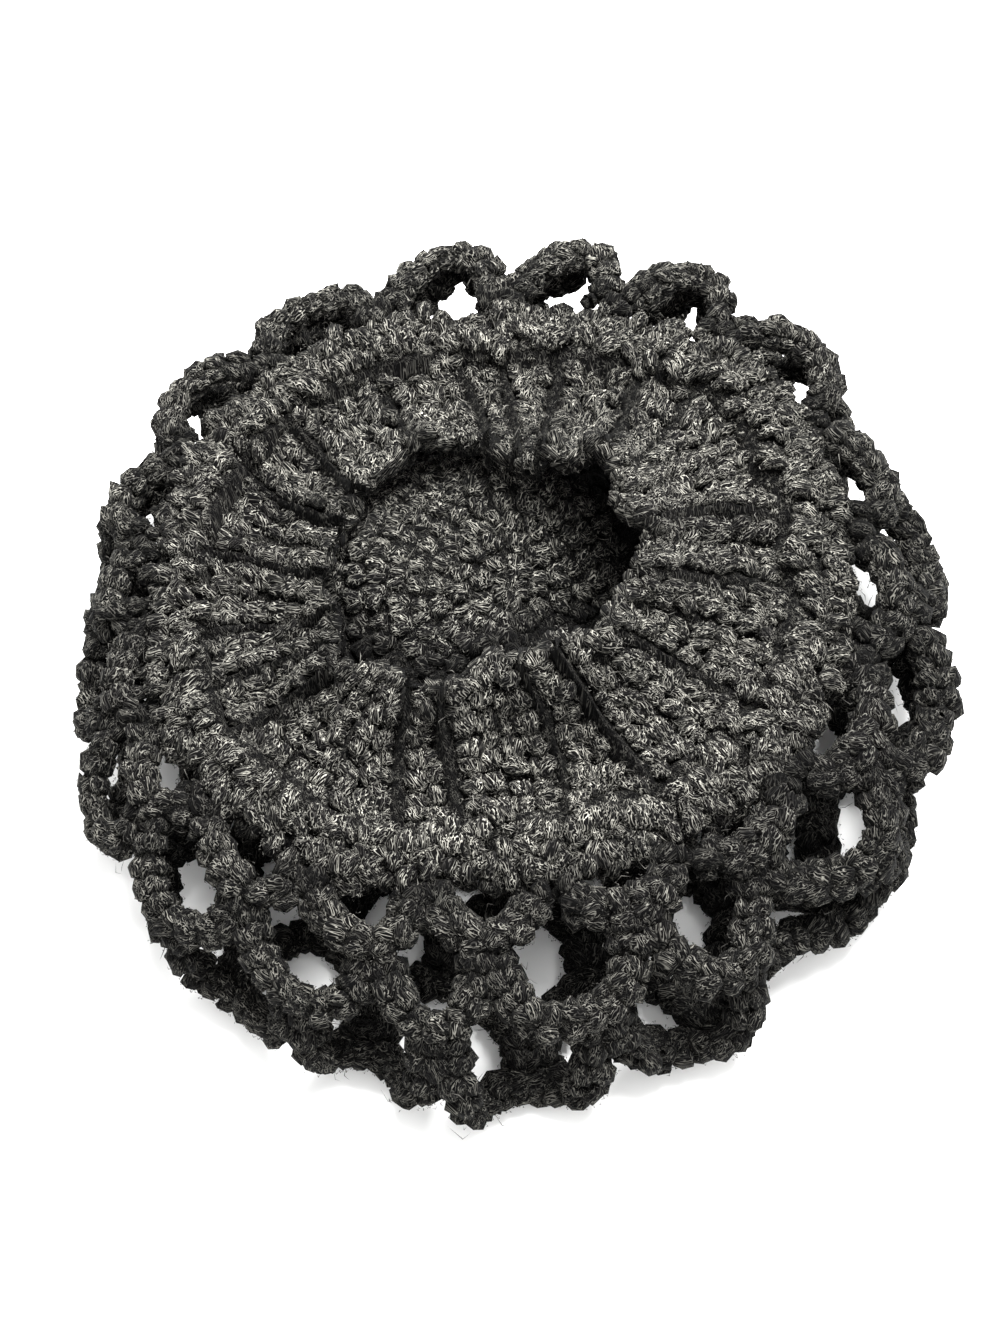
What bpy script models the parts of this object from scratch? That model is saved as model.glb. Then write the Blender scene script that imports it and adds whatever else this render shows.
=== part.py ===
"""A slouchy crocheted beanie, lying on its crown with the opening up.

Solid crochet makes the round crown, which lies on the surface, and the ribbed band, whose edge is gathered
round the opening. Between them five rounds of thick open arches make the slouchy body, each round hooked on
the one before it, and a corded joining round carries the band. Lengths are in metres and +Z is up. An azimuth
is in degrees seen from above, 0 to the right and 90 to the back.
"""

from collections import namedtuple
from math import pi, radians

import bmesh
import bpy
import numpy as np

# The body: its widest outline seen from above, and how high that outline lies
HAT_WIDTH = 0.287
HAT_DEPTH = 0.312
WIDEST_HEIGHT = 0.024

# The crown, a disc of solid crochet pushed up in its middle
CROWN_DIAMETER = 0.172
CROWN_RIGHT = -0.006
CROWN_BACK = 0.022
CROWN_FABRIC = 0.007
CROWN_RISE = 0.041
CROWN_FLAT_RIM = 0.12
CROWN_SLOPE = 0.24

# The joining round, a cord of stitches between the body and the band
JOINING_WIDTH = 0.216
JOINING_DEPTH = 0.200
JOINING_HEIGHT = 0.046
JOINING_RIGHT = -0.009
JOINING_BACK = 0.019
JOINING_CORD = 0.009

# The band, gathered from the joining round in to the opening
OPENING_WIDTH = 0.106
OPENING_DEPTH = 0.088
OPENING_HEIGHT = 0.080
BAND_FABRIC = 0.007
BAND_PUFF = 0.009
RIB_RISE = 0.007
RIB_ROUNDNESS = 0.5
RIB_REACH = 0.008
RIB_SHARE_AT_JOIN = 0.4

# The open arches of the body
ROUNDS = 5
STRAND_WIDTH = 0.0135
STRAND_THICKNESS = 0.010
STRAND_EDGE_SHARE = 0.56
STRAND_MOST_OF_ROUND = 0.55
NOTCH_SHARE = 0.5
FOOT_MOST_OF_ARCH = 0.38
ROUND_SWAY = 0.14
DENT_DEPTH = 0.006

# Clearances between neighbouring pieces
SEAT_GAP = 0.0004
ROUND_GAP = 0.0008

# How finely the solids are cut into flat faces
ARCH_STATIONS = (-0.52, -0.18, 0.18, 0.52)
RIB_STATIONS = (-0.2, 0.2, 0.39, 0.5, 0.61)
BAND_ROWS = (0.0, 0.22, 0.5, 0.78, 1.0)
CROWN_RINGS = (0.0, 0.22, 0.42, 0.60, 0.72, 0.88, 1.0)
CROWN_COLUMNS = 40
CORD_COLUMNS = 60
CORD_SIDES = 5
PROFILE_STEPS = 12

# The yarn, and how much lighter or darker each piece looks
WOOL = (0.036, 0.036, 0.037)
WOOL_ROUGHNESS = 0.95
CROWN_SHADE = 0.85
JOINING_SHADE = 1.0
BAND_SHADE = 1.1
BODY_SHADE = 0.95

# Where the body reaches further out or less far than an ellipse, as a share of it
Slouch = namedtuple("Slouch", "azimuth reach")
SLOUCH = [
    Slouch(0, 0.958),
    Slouch(28, 0.955),
    Slouch(52, 1.009),
    Slouch(75, 1.014),
    Slouch(90, 1.006),
    Slouch(116, 1.003),
    Slouch(140, 1.041),
    Slouch(157, 1.038),
    Slouch(180, 1.012),
    Slouch(212, 1.03),
    Slouch(240, 0.999),
    Slouch(257, 0.952),
    Slouch(271, 0.978),
    Slouch(285, 0.872),
    Slouch(298, 0.951),
    Slouch(312, 0.868),
    Slouch(325, 0.944),
    Slouch(340, 0.92),
]

# How the body hangs: how high its widest outline lies there, as a share of its height, how far the rounds below
# are tucked in under it, and how much deeper each round is than the one before. In front it slouches down, and at
# the back the first round lies out level
Hang = namedtuple("Hang", "azimuth height tucked growth")
HANGS = [
    Hang(0, 1.15, 0.25, 1.0),
    Hang(28, 1.35, 0.4, 0.85),
    Hang(60, 1.5, 0.3, 0.66),
    Hang(120, 1.5, 0.3, 0.66),
    Hang(160, 1.35, 0.3, 0.8),
    Hang(195, 1.15, 0.35, 0.92),
    Hang(230, 0.8, 0.1, 1.1),
    Hang(270, 0.66, 0.0, 1.12),
    Hang(320, 0.8, 0.0, 1.12),
]

# The same for the joining round and for the opening's edge, and how high that edge stands as a share of its height
Edge = namedtuple("Edge", "azimuth joining opening height")
EDGES = [
    Edge(0, 1.00, 0.92, 1.0),
    Edge(25, 1.05, 0.90, 1.0),
    Edge(48, 1.11, 0.97, 0.95),
    Edge(72, 1.04, 0.93, 0.86),
    Edge(92, 1.00, 1.00, 0.78),
    Edge(110, 1.01, 1.22, 0.74),
    Edge(128, 1.02, 1.20, 0.70),
    Edge(158, 1.01, 1.09, 0.67),
    Edge(184, 1.00, 1.09, 0.68),
    Edge(212, 1.07, 1.20, 0.73),
    Edge(240, 1.08, 1.20, 0.84),
    Edge(268, 0.98, 1.00, 0.95),
    Edge(292, 0.99, 0.97, 1.0),
    Edge(320, 1.00, 0.97, 1.0),
    Edge(344, 1.01, 0.91, 1.0),
]

# The arches, which hang askew: where each is in the first round and in the lower rounds, and how much deeper
# it is, as a share of its round
Arch = namedtuple("Arch", "upper lower deeper")
ARCHES = [
    Arch(2, 5, 0.0),
    Arch(23, 26, 0.05),
    Arch(45, 47, -0.05),
    Arch(65, 64, 0.05),
    Arch(81, 80, 0.0),
    Arch(100, 99, 0.1),
    Arch(122, 119, 0.0),
    Arch(143, 141, 0.05),
    Arch(162, 160, 0.0),
    Arch(177, 176, 0.0),
    Arch(193, 191, 0.0),
    Arch(210, 207, -0.05),
    Arch(230, 227, -0.1),
    Arch(250, 247, 0.05),
    Arch(266, 271, 0.05),
    Arch(289, 298, -0.05),
    Arch(310, 324, -0.15),
    Arch(335, 346, 0.05),
]

# Soft dents and bulges of the body. A place is an azimuth and a share of the way from band to crown
Dent = namedtuple("Dent", "azimuth share push turn spread")
DENTS = [
    Dent(312, 0.35, -1.0, 14, 0.25),
    Dent(338, 0.30, 0.6, 12, 0.20),
    Dent(20, 0.30, -0.5, 12, 0.20),
    Dent(60, 0.35, 0.5, 14, 0.25),
    Dent(118, 0.30, -0.4, 12, 0.20),
    Dent(200, 0.40, 0.5, 16, 0.25),
    Dent(240, 0.25, -0.5, 12, 0.18),
    Dent(262, 0.40, 0.4, 10, 0.20),
    Dent(290, 0.22, 0.6, 10, 0.15),
]

# The band's ribs: where each crest is, how high it stands, how far it reaches in and how far it leans over
Rib = namedtuple("Rib", "azimuth rise reach lean")
RIBS = [
    Rib(12, 0.9, 0.1, 2),
    Rib(27, 1.1, 0.3, 2),
    Rib(41, 0.8, -0.2, 0),
    Rib(53, 0.7, -0.4, 0),
    Rib(66, 1.2, -0.2, 3),
    Rib(80, 0.8, 0.6, 0),
    Rib(92, 0.9, 0.0, -2),
    Rib(108, 1.2, -0.3, -3),
    Rib(126, 0.8, 0.1, 0),
    Rib(141, 0.9, 0.3, 2),
    Rib(153, 1.0, 0.2, 2),
    Rib(163, 0.8, 0.0, 0),
    Rib(173, 0.9, 0.0, 2),
    Rib(183, 0.7, -0.2, 0),
    Rib(193, 1.0, 0.2, 2),
    Rib(204, 1.3, 0.4, 4),
    Rib(217, 1.0, -0.4, 0),
    Rib(230, 1.2, 0.3, 2),
    Rib(243, 0.9, 0.2, 0),
    Rib(257, 0.8, -0.3, 0),
    Rib(269, 1.1, 0.3, -2),
    Rib(281, 0.9, 0.0, 0),
    Rib(294, 1.1, 0.4, -2),
    Rib(307, 1.0, -0.3, 0),
    Rib(323, 1.3, 0.2, -3),
    Rib(340, 0.9, 0.2, 0),
    Rib(357, 0.8, -0.1, 0),
]

# The crown's soft rises, placed and sized as shares of its radius, and high as a share of its rise
Rise = namedtuple("Rise", "right back height spread")
RISES = [
    Rise(-0.20, 0.10, 0.88, 0.80),
    Rise(-0.62, 0.16, 0.22, 0.25),
    Rise(0.02, 0.50, 0.34, 0.26),
    Rise(0.55, 0.00, -0.25, 0.30),
    Rise(-0.10, -0.30, 0.12, 0.12),
    Rise(0.16, -0.10, -0.10, 0.12),
]


def between(at, azimuth):
    """Which of the sorted azimuths lies before each given one, and the share of the way to the next."""
    at = np.concatenate([at[-1:] - 360, at, at[:1] + 360])
    azimuth = np.mod(azimuth, 360.0)
    before = np.searchsorted(at, azimuth, side="right") - 1
    return before - 1, (azimuth - at[before]) / (at[before + 1] - at[before])


def listed(rows, name):
    return np.array([getattr(row, name) for row in rows], float)


def eased(share):
    return share * share * (3 - 2 * share)


def column(rows, name, azimuth, key="azimuth"):
    """One column of a table at each azimuth, eased between its rows, all the way round."""
    value = listed(rows, name)
    before, share = between(listed(rows, key), azimuth)
    after = (before + 1) % len(rows)
    return value[before] + (value[after] - value[before]) * eased(share)


def unit(vectors):
    return vectors / np.linalg.norm(vectors, axis=-1, keepdims=True)


def level_ellipse(azimuth, width, depth, right, back, height):
    """Where a level ellipse passes each azimuth."""
    turn = np.radians(azimuth)
    across = right + width / 2 * np.cos(turn)
    away = back + depth / 2 * np.sin(turn)
    return np.stack([across, away, height + 0 * turn], axis=-1)


def joining_line(azimuth, grown=0.0):
    """The joining round's centreline, or a line that runs outside it by grown."""
    reach = column(EDGES, "joining", azimuth)
    width = JOINING_WIDTH * reach + 2 * grown
    depth = JOINING_DEPTH * reach + 2 * grown
    return level_ellipse(azimuth, width, depth, JOINING_RIGHT, JOINING_BACK, JOINING_HEIGHT)


def widest_line(azimuth):
    reach = column(SLOUCH, "reach", azimuth)
    width = HAT_WIDTH * reach - STRAND_THICKNESS
    depth = HAT_DEPTH * reach - STRAND_THICKNESS
    return level_ellipse(azimuth, width, depth, 0.0, 0.0, WIDEST_HEIGHT * column(HANGS, "height", azimuth))


def crown_line(azimuth, grown=0.0):
    across = CROWN_DIAMETER + 2 * grown
    return level_ellipse(azimuth, across, across, CROWN_RIGHT, CROWN_BACK, STRAND_THICKNESS / 2)


def body_profiles(azimuth):
    """The body's middle surface cut upright at each azimuth, from the joining round down to the crown's edge.

    Returns the points of each cut and how far along the cut each point lies.
    """
    top = joining_line(azimuth, JOINING_CORD / 2 + SEAT_GAP)[:, None]
    wide = widest_line(azimuth)[:, None]
    low = crown_line(azimuth, SEAT_GAP)[:, None]
    turns = np.linspace(0, pi / 2, PROFILE_STEPS + 1)[:, None]
    early, late, even = np.sin(turns), 1 - np.cos(turns), turns / (pi / 2)
    tucked = column(HANGS, "tucked", azimuth)[:, None, None]
    level, upright = np.array([1.0, 1.0, 0.0]), np.array([0.0, 0.0, 1.0])
    over = top + (wide - top) * (level * early + upright * late)
    bulging = level * late + upright * early
    folded = level * even + upright * eased(even)
    under = wide + (low - wide) * (bulging + (folded - bulging) * tucked)
    points = np.concatenate([over, under[:, 1:]], axis=1)
    steps = np.linalg.norm(np.diff(points, axis=1), axis=2)
    return points, np.concatenate([0 * steps[:, :1], np.cumsum(steps, axis=1)], axis=1)


def body_length(azimuth):
    return body_profiles(azimuth)[1][:, -1]


def smooth_body(azimuth, distance):
    points, lengths = body_profiles(azimuth)
    after = np.clip((lengths < distance[:, None]).sum(axis=1), 1, lengths.shape[1] - 1)
    row = np.arange(len(after))
    start, end = lengths[row, after - 1], lengths[row, after]
    share = ((distance - start) / (end - start))[:, None]
    return points[row, after - 1] + (points[row, after] - points[row, after - 1]) * share


def body_surface(azimuth, distance):
    """The body's middle surface at an azimuth and a distance along its cut, and its outward direction there."""
    small_turn, small_step = 0.5, 0.0005
    length = body_length(azimuth)
    inner, outer = np.maximum(distance - small_step, 0), np.minimum(distance + small_step, length)
    down = smooth_body(azimuth, outer) - smooth_body(azimuth, inner)
    along = smooth_body(azimuth + small_turn, distance) - smooth_body(azimuth - small_turn, distance)
    normal = unit(np.cross(down, along))
    push = 0 * azimuth
    for dent in DENTS:
        aside = (np.mod(azimuth - dent.azimuth + 180, 360) - 180) / dent.turn
        away = (distance / length - dent.share) / dent.spread
        push += DENT_DEPTH * dent.push * np.exp(-aside * aside - away * away)
    held = np.sin(pi * np.clip(distance / length, 0, 1))
    return smooth_body(azimuth, distance) + normal * (push * held)[:, None], normal


def junction(level, arch):
    """The azimuth where a foot of one round hooks on an arch of the round before, at a level from 0 to ROUNDS."""
    lowered = np.clip((level - 1) / 2, 0, 1)
    azimuths = listed(ARCHES, "upper") * (1 - lowered) + listed(ARCHES, "lower") * lowered
    laps, row = np.divmod(arch - 1 + level % 2, len(ARCHES))
    before = azimuths[row] + 360 * laps
    laps, row = np.divmod(arch, len(ARCHES))
    return (before + azimuths[row] + 360 * laps) / 2


def level_distance(level, azimuth):
    """How far along the body two rounds meet. The first and the last line run even."""
    deeper = column(ARCHES, "deeper", azimuth, key="upper")
    wave = ROUND_SWAY * np.sin(np.radians(3 * azimuth) + 2.0 * level)
    even = ROUNDS * (level / ROUNDS) ** column(HANGS, "growth", azimuth)
    return body_length(azimuth) * (even + (wave + deeper) * np.sin(pi * level / ROUNDS)) / ROUNDS


def round_outline(number):
    """A round of arches as columns of azimuth, upper and lower distance, foot to foot, arch after arch."""
    arch = np.arange(len(ARCHES))
    odd = (number - 1) % 2
    left, right = junction(number - 1, arch), junction(number - 1, arch + 1)
    bottom = junction(number, arch + odd)
    middle = level_distance(number - 0.5, bottom)
    span = np.linalg.norm(smooth_body(right, middle) - smooth_body(left, middle), axis=1)
    foot = np.minimum(STRAND_WIDTH / span, FOOT_MOST_OF_ARCH)[:, None]
    x = np.concatenate([foot - 1, np.tile(ARCH_STATIONS, (len(arch), 1)), 1 - foot], axis=1)
    reach = np.where(x < 0, (bottom - left)[:, None], (right - bottom)[:, None])
    azimuth = (bottom[:, None] + reach * x).ravel()
    inside = (1 - (abs(x) / (1 - foot)) ** 2.4).ravel()
    x = abs(x).ravel()
    start = level_distance(number - 1, azimuth) + ROUND_GAP / 2 * (number > 1)
    end = level_distance(number, azimuth) - ROUND_GAP / 2 * (number < ROUNDS)
    deep = end - start
    strand = np.minimum(STRAND_WIDTH, STRAND_MOST_OF_ROUND * deep)
    return azimuth, start + (deep - strand) * inside, end - deep * (1 - NOTCH_SHARE) * x ** 1.8


def rib_shape(azimuth):
    """How the band's folds stand at an azimuth, from -1 in a valley to 1 on a crest."""
    _, share = between(listed(RIBS, "azimuth"), azimuth)
    return 2 * abs(np.cos(pi * share)) ** RIB_ROUNDNESS - 1


def band_surface(azimuth, share):
    """The band's middle surface and its outward direction, from the joining round at 0 to the opening at 1."""
    fold = rib_shape(azimuth)
    rise, reach = column(RIBS, "rise", azimuth), column(RIBS, "reach", azimuth)
    azimuth = azimuth + column(RIBS, "lean", azimuth) * (1 + fold) / 2 * share
    share = np.full_like(azimuth, share)[:, None]
    seat = joining_line(azimuth, -(JOINING_CORD / 2 + SEAT_GAP))
    grown = column(EDGES, "opening", azimuth)
    width, depth = OPENING_WIDTH * grown, OPENING_DEPTH * grown
    inward = 2 * RIB_REACH * reach
    height = OPENING_HEIGHT * column(EDGES, "height", azimuth)
    rim = level_ellipse(azimuth, width - inward, depth - inward, JOINING_RIGHT, JOINING_BACK, height)
    turn = np.radians(azimuth)
    along = np.stack([-np.sin(turn), np.cos(turn), 0 * turn], axis=-1)
    facing = unit(np.cross(along, seat - rim))
    upright = np.array([0.0, 0.0, 1.0])
    facing = unit(upright + (facing - upright) * np.minimum(1.0, share / BAND_ROWS[1]))
    standing = RIB_RISE * (RIB_SHARE_AT_JOIN + (1 - RIB_SHARE_AT_JOIN) * share) * (rise * fold)[:, None]
    return seat + (rim - seat) * share + facing * (standing + BAND_PUFF * np.sin(pi * share)), facing


def crown_surface(azimuth, share):
    """The crown's middle surface at a share of the way from its centre to its edge."""
    right, back = share * np.cos(np.radians(azimuth)), share * np.sin(np.radians(azimuth))
    height = 0 * right
    for rise in RISES:
        away = np.hypot(right - rise.right, back - rise.back) / rise.spread
        height += CROWN_RISE * rise.height * np.exp(-away * away)
    height *= eased(np.clip((1 - CROWN_FLAT_RIM - share) / CROWN_SLOPE, 0, 1))
    radius = CROWN_DIAMETER / 2
    return np.stack([CROWN_RIGHT + radius * right, CROWN_BACK + radius * back, CROWN_FABRIC / 2 + height], axis=-1)


def wool(name, shade):
    material = bpy.data.materials.new(name)
    material.use_nodes = True
    surface = material.node_tree.nodes["Principled BSDF"]
    surface.inputs["Base Color"].default_value = (*(shade * tone for tone in WOOL), 1.0)
    surface.inputs["Roughness"].default_value = WOOL_ROUGHNESS
    return material


def solid(name, loops, shade, parent, ends=()):
    """A closed solid skinned over loops of points. With no end points its last loop joins its first."""
    shape = bmesh.new()
    laid = [[shape.verts.new(point) for point in loop] for loop in loops]
    pairs = list(zip(laid, laid[1:])) if len(ends) else list(zip(laid, laid[1:] + laid[:1]))
    for loop, following in pairs:
        for i in range(len(loop)):
            j = (i + 1) % len(loop)
            shape.faces.new((loop[i], loop[j], following[j], following[i]))
    for loop, end in zip((laid[0], laid[-1]), ends):
        middle = shape.verts.new(end)
        for i in range(len(loop)):
            shape.faces.new((loop[i], loop[(i + 1) % len(loop)], middle))
    bmesh.ops.triangulate(shape, faces=shape.faces[:], quad_method="SHORT_EDGE")
    bmesh.ops.recalc_face_normals(shape, faces=shape.faces[:])
    if shape.calc_volume(signed=True) < 0:
        bmesh.ops.reverse_faces(shape, faces=shape.faces[:])
    mesh = bpy.data.meshes.new(name)
    shape.to_mesh(mesh)
    shape.free()
    mesh.materials.append(wool(f"{name}_wool", shade))
    mesh.shade_smooth()
    mesh.set_sharp_from_angle(angle=radians(60))
    made = bpy.data.objects.new(name, mesh)
    bpy.context.scene.collection.objects.link(made)
    made.parent = parent
    return made


def walls(rows):
    """The loops round a sheet of fabric, down its outer face and back up its inner face.

    Each row is a middle line and the half wall as vectors.
    """
    outer = [middle + half for middle, half in rows]
    inner = [middle - half for middle, half in rows]
    return outer + inner[::-1]


def crown(parent):
    azimuth = np.linspace(0, 360, CROWN_COLUMNS, endpoint=False)
    half = np.array([0.0, 0.0, CROWN_FABRIC / 2])
    rings = [crown_surface(azimuth, share + 0 * azimuth) for share in CROWN_RINGS]
    centre = rings[0][0]
    loops = walls([(ring, half) for ring in rings[1:]])
    return solid("crown", loops, CROWN_SHADE, parent, ends=(centre + half, centre - half))


def mesh_round(number, parent):
    azimuth, upper, lower = round_outline(number)
    rows = []
    for distance, share in ((upper, STRAND_EDGE_SHARE), ((upper + lower) / 2, 1.0), (lower, STRAND_EDGE_SHARE)):
        middle, normal = body_surface(azimuth, distance)
        rows.append((middle, normal * STRAND_THICKNESS / 2 * share))
    return solid(f"mesh_round_{number}", walls(rows), BODY_SHADE, parent)


def joining_round(parent):
    azimuth = np.linspace(0, 360, CORD_COLUMNS, endpoint=False)
    centre = joining_line(azimuth)
    outward = unit(joining_line(azimuth, JOINING_CORD) - centre)
    upright = np.array([0.0, 0.0, 1.0])
    turns = [2 * pi * side / CORD_SIDES for side in range(CORD_SIDES)]
    loops = [centre + JOINING_CORD / 2 * (outward * np.cos(t) + upright * np.sin(t)) for t in turns]
    return solid("joining_round", loops, JOINING_SHADE, parent)


def band(parent):
    crests = listed(RIBS, "azimuth")
    spacing = np.diff(np.concatenate([crests, crests[:1] + 360]))
    before = np.concatenate([spacing[-1:], spacing[:-1]])
    stations = np.array(RIB_STATIONS)
    steps = np.where(stations < 0, before[:, None], spacing[:, None]) * stations
    azimuth = (crests[:, None] + steps).ravel()
    rows = [band_surface(azimuth, share) for share in BAND_ROWS]
    loops = walls([(middle, facing * BAND_FABRIC / 2) for middle, facing in rows])
    return solid("band", loops, BAND_SHADE, parent)


def centre_on_origin(pieces, parent):
    """Stands the hat on z = 0, with its outline centred on the origin."""
    corners = np.array([v.co for piece in pieces for v in piece.data.vertices])
    low, high = corners.min(axis=0), corners.max(axis=0)
    parent.location = (-(low[0] + high[0]) / 2, -(low[1] + high[1]) / 2, -low[2])


def beanie():
    for old in list(bpy.data.objects):
        bpy.data.objects.remove(old, do_unlink=True)
    hat = bpy.data.objects.new("beanie", None)
    bpy.context.scene.collection.objects.link(hat)
    pieces = [crown(hat), joining_round(hat), band(hat)]
    pieces += [mesh_round(number, hat) for number in range(1, ROUNDS + 1)]
    centre_on_origin(pieces, hat)


beanie()
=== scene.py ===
# A slouchy crocheted beanie in charcoal melange wool, lying on its crown with the opening up.
# Every stitch is a few bent lengths of yarn, laid on smooth surfaces that follow the solids.
from math import pi, radians

import bmesh
import bpy
import numpy as np
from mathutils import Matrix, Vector


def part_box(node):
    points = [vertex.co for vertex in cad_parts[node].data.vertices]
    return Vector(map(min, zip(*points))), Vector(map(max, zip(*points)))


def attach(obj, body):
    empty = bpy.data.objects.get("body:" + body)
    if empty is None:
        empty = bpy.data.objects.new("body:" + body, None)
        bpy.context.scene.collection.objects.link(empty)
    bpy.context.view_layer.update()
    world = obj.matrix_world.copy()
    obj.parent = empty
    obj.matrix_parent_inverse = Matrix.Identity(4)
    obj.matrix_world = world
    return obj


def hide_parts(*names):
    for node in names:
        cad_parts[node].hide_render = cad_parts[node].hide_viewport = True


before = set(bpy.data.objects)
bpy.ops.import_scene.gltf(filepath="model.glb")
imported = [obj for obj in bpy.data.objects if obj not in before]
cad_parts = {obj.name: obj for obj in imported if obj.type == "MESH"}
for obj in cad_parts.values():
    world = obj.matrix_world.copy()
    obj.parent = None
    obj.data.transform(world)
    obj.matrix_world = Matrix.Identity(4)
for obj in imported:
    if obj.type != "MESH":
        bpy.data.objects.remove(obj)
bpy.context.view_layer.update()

chance = np.random.default_rng(1341)

# sizes shared by all the pieces, in metres; an azimuth is in degrees seen from above, 0 right and 90 back
hat = {
    "width": 0.287, "depth": 0.312, "widestHeight": 0.024,  # the widest outline, and how high it lies
    "rounds": 5, "roundSway": 0.14,  # rounds of arches, and how far they wander, as a share of a round
    "swayWaves": 3, "swayShift": 2.0,  # waves all the way round, and radians from one round to the next
    "strandWidth": 0.0135, "strandThickness": 0.01,
    "mostOfRound": 0.55, "mostOfArch": 0.38,  # the most that a strand takes of its room
    "dentDepth": 0.006, "profileSteps": 12,  # steps in each half of the body's profile
    "slopeStep": 0.0005, "slopeTurn": 0.5,  # metres and degrees to the points that give a slope
    # azimuth, how far the body reaches there as a share of an ellipse
    "slouch": np.array([
        (0, 0.958), (28, 0.965), (52, 1.022), (75, 1.014), (90, 1.01), (116, 1.003), (140, 1.041), (157, 1.032),
        (180, 0.998), (212, 1.01), (240, 0.985), (257, 0.952), (271, 0.968), (285, 0.872), (298, 0.945),
        (312, 0.868), (325, 0.93), (340, 0.932)]),
    # azimuth, how high the widest outline lies there, how far it is tucked in below, how the rounds grow
    "hangs": np.array([
        (0, 1.15, 0.25, 1.0), (28, 1.35, 0.4, 0.85), (60, 1.5, 0.3, 0.66), (120, 1.5, 0.3, 0.66),
        (160, 1.35, 0.3, 0.8), (195, 1.15, 0.35, 0.92), (230, 0.8, 0.1, 1.1), (270, 0.66, 0.0, 1.12),
        (320, 0.8, 0.0, 1.12)]),
    # azimuth of each arch in the first round, in the lower rounds, and how much deeper it hangs
    "arches": np.array([
        (2, 5, 0.0), (23, 26, 0.05), (45, 47, -0.05), (65, 64, 0.05), (81, 80, 0.0), (100, 99, 0.1),
        (122, 119, 0.0), (143, 141, 0.05), (162, 160, 0.0), (177, 176, 0.0), (193, 191, 0.0), (210, 207, -0.05),
        (230, 227, -0.1), (250, 247, 0.05), (266, 271, 0.05), (289, 298, -0.05), (310, 324, -0.15),
        (335, 346, 0.05)]),
    # azimuth, share of the way from band to crown, push, turn in degrees, spread
    "dents": [
        (312, 0.35, -1.0, 14, 0.25), (338, 0.3, 0.6, 12, 0.2), (20, 0.3, -0.5, 12, 0.2),
        (60, 0.35, 0.5, 14, 0.25), (118, 0.3, -0.4, 12, 0.2), (200, 0.4, 0.5, 16, 0.25),
        (240, 0.25, -0.5, 12, 0.18), (262, 0.4, 0.4, 10, 0.2), (290, 0.22, 0.6, 10, 0.15)],
}

joining = {
    "width": 0.216, "depth": 0.2, "height": 0.046, "right": -0.009, "back": 0.019,
    "cord": 0.009, "gap": 0.0004,  # how thick the cord is, and its clearance
    # azimuth, how far the joining round and the opening's edge reach there, how high that edge stands
    "edges": np.array([
        (0, 1.0, 0.92, 1.0), (25, 1.05, 0.9, 1.0), (48, 1.11, 0.97, 0.95), (72, 1.04, 0.93, 0.86),
        (92, 1.0, 1.0, 0.78), (110, 1.01, 1.22, 0.74), (128, 1.02, 1.2, 0.7), (158, 1.01, 1.09, 0.67),
        (184, 1.0, 1.09, 0.68), (212, 1.07, 1.2, 0.73), (240, 1.08, 1.2, 0.84), (268, 0.98, 1.0, 0.95),
        (292, 0.99, 0.97, 1.0), (320, 1.0, 0.97, 1.0), (344, 1.01, 0.91, 1.0)]),
}

band = {
    "openingWidth": 0.106, "openingDepth": 0.088, "openingHeight": 0.08,
    "puff": 0.009,  # how far the fabric bows up half way in
    "ribRise": 0.008, "ribReach": 0.008,  # how high the folds stand, and how far they reach into the opening
    "ribAtJoin": 0.72,  # share of their height that they have at the joining round
    "settled": 0.22,  # share of the way in over which the band turns from level
    "foldCrest": 0.7, "foldDepth": 0.9, "foldRoundness": 0.5,  # shares of the height, and how full a fold is
    "overCord": 0.003, "cordShare": 0.05,  # how far the fabric lifts over the joining round, and over what share
    "bulge": 0.001, "swells": [(5, 0.0, 4), (13, 1.7, -9)],  # slow swells: waves all round, start, change inwards
    # azimuth of each fold's crest, how high it stands, how far it reaches in
    "ribs": np.array([
        (12, 0.9, 0.1), (27, 1.1, 0.3), (41, 0.8, -0.2), (53, 0.7, -0.4), (66, 1.2, -0.2), (80, 0.8, 0.6),
        (92, 0.9, 0.0), (108, 1.2, -0.3), (126, 0.8, 0.1), (141, 0.9, 0.3), (153, 1.0, 0.2), (163, 0.8, 0.0),
        (173, 0.9, 0.0), (183, 0.7, -0.2), (193, 1.0, 0.2), (204, 1.3, 0.4), (217, 1.0, -0.4), (230, 1.2, 0.3),
        (243, 0.9, 0.2), (257, 0.8, -0.3), (269, 1.1, 0.3), (281, 0.9, 0.0), (294, 1.1, 0.4), (307, 1.0, -0.3),
        (323, 1.3, 0.2), (340, 0.9, 0.2), (357, 0.8, -0.1)]),
    # azimuth of each crease between two folds at the joining round, half way in and at the opening, and its depth;
    # where it is hardly there two folds of the solid lie together as one broad pleat
    "creases": np.array([
        (10, 20, 8, 1.0), (33, 35, 29, 0.1), (52, 48, 41, 0.4), (65, 58, 53, 0.9), (77, 77, 74, 0.9),
        (92, 87, 82, 1.0), (101, 96, 93, 1.1), (115, 115, 114, 0.5), (136, 136, 143, 1.0), (149, 152, 155, 0.9),
        (160, 162, 167, 0.2), (170, 171, 178, 0.8), (181, 181, 188, 0.15), (192, 190, 198, 0.8),
        (204, 202, 210, 0.6), (215, 214, 219, 0.9), (227, 225, 228, 0.15), (241, 234, 235, 0.35),
        (252, 248, 243, 0.9), (264, 258, 252, 1.0), (273, 271, 265, 0.1), (281, 284, 277, 0.7),
        (302, 298, 289, 1.1), (314, 312, 302, 0.15), (327, 327, 313, 0.5), (341, 344, 328, 0.2),
        (354, 359, 342, 0.6)]),
    # azimuth, and the tone of the band there: the light reaches its front and back less
    "shades": np.array([
        (0, 1.05), (45, 1.12), (90, 1.28), (135, 1.16), (180, 1.05), (225, 1.18), (270, 1.45), (315, 1.2)]),
}

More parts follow.
